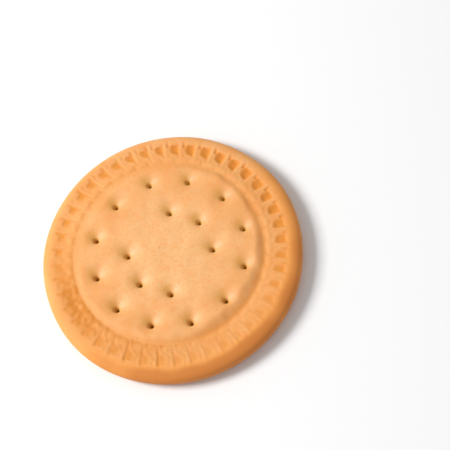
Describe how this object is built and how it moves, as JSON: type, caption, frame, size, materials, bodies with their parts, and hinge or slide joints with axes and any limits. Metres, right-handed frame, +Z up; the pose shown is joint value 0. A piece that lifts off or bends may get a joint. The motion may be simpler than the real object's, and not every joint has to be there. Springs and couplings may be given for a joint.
{
  "type": "round docked biscuit",
  "caption": "Round golden tea biscuit with a rounded rim, a running key border and a raised middle pricked with docker holes.",
  "frame": {"origin": "middle of the flat underside, which is also the middle of the round outline", "axes": "+Z up, out of the stamped face; +X to the right and +Y away from the viewer of the picture"},
  "size_m": [0.065, 0.065, 0.0059],
  "materials": {
    "baked_crust": "dry, matte, golden baked crust"
  },
  "bodies": {
    "root": {"biscuit": "baked_crust"}
  },
  "joints": []
}
